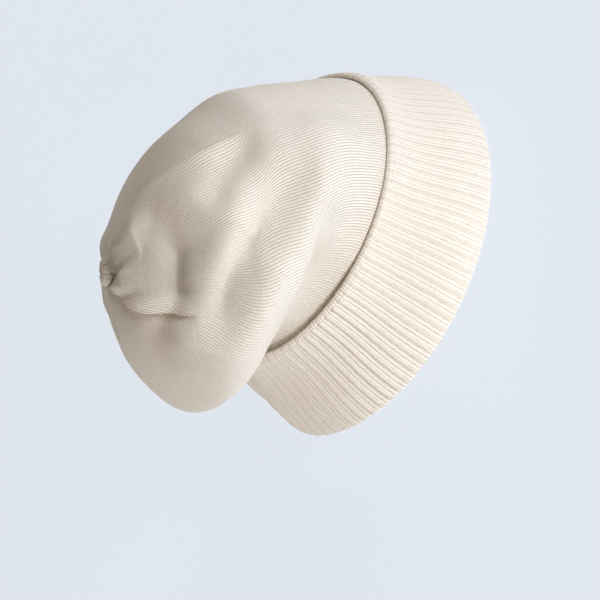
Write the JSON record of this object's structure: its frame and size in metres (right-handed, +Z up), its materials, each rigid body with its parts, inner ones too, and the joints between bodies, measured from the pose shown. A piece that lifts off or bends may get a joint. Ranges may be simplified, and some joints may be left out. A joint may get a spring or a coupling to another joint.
{
  "type": "knit beanie",
  "caption": "Slouchy knit beanie: rib cuff folded up once, plain jersey crown drooping over the back of the cuff, and a gathered tip.",
  "frame": {"origin": "middle of the head opening, in the plane of the folded rim, which is the face that the hat rests on", "axes": "+Z up through the crown, -Y towards the forehead, +Y towards the back of the head, +X to the wearer's left"},
  "size_m": [0.1598, 0.2091, 0.1474],
  "materials": {
    "rib_knit": "soft cream rib knit",
    "jersey_knit": "soft cream fine jersey knit",
    "seam_thread": "cream sewing yarn",
    "label_tape": "blank woven satin tape"
  },
  "bodies": {
    "cuff_and_crown": {"cuff_turn_up": "rib_knit", "cuff_free_edge": "rib_knit", "cuff_inner_band": "rib_knit", "linking_seam": "seam_thread", "crown_base": "jersey_knit"},
    "slouch": {"crown_slouch": "jersey_knit", "tip_tuft": "jersey_knit", "gathering_thread": "seam_thread", "gathering_knot": "seam_thread"},
    "label": {"care_label": "label_tape"}
  },
  "joints": [
    {"name": "slouch_lift", "type": "hinge", "parent": "cuff_and_crown", "child": "slouch", "pos_m": [0.00318, -0.04792, 0.1026], "axis": [0.9903, 0, -0.1392], "range_deg": [0, 20]},
    {"name": "label_flap", "type": "hinge", "parent": "cuff_and_crown", "child": "label", "pos_m": [0, 0.07218, 0.0455], "axis": [-1, 0, 0], "range_deg": [0, 80]}
  ]
}
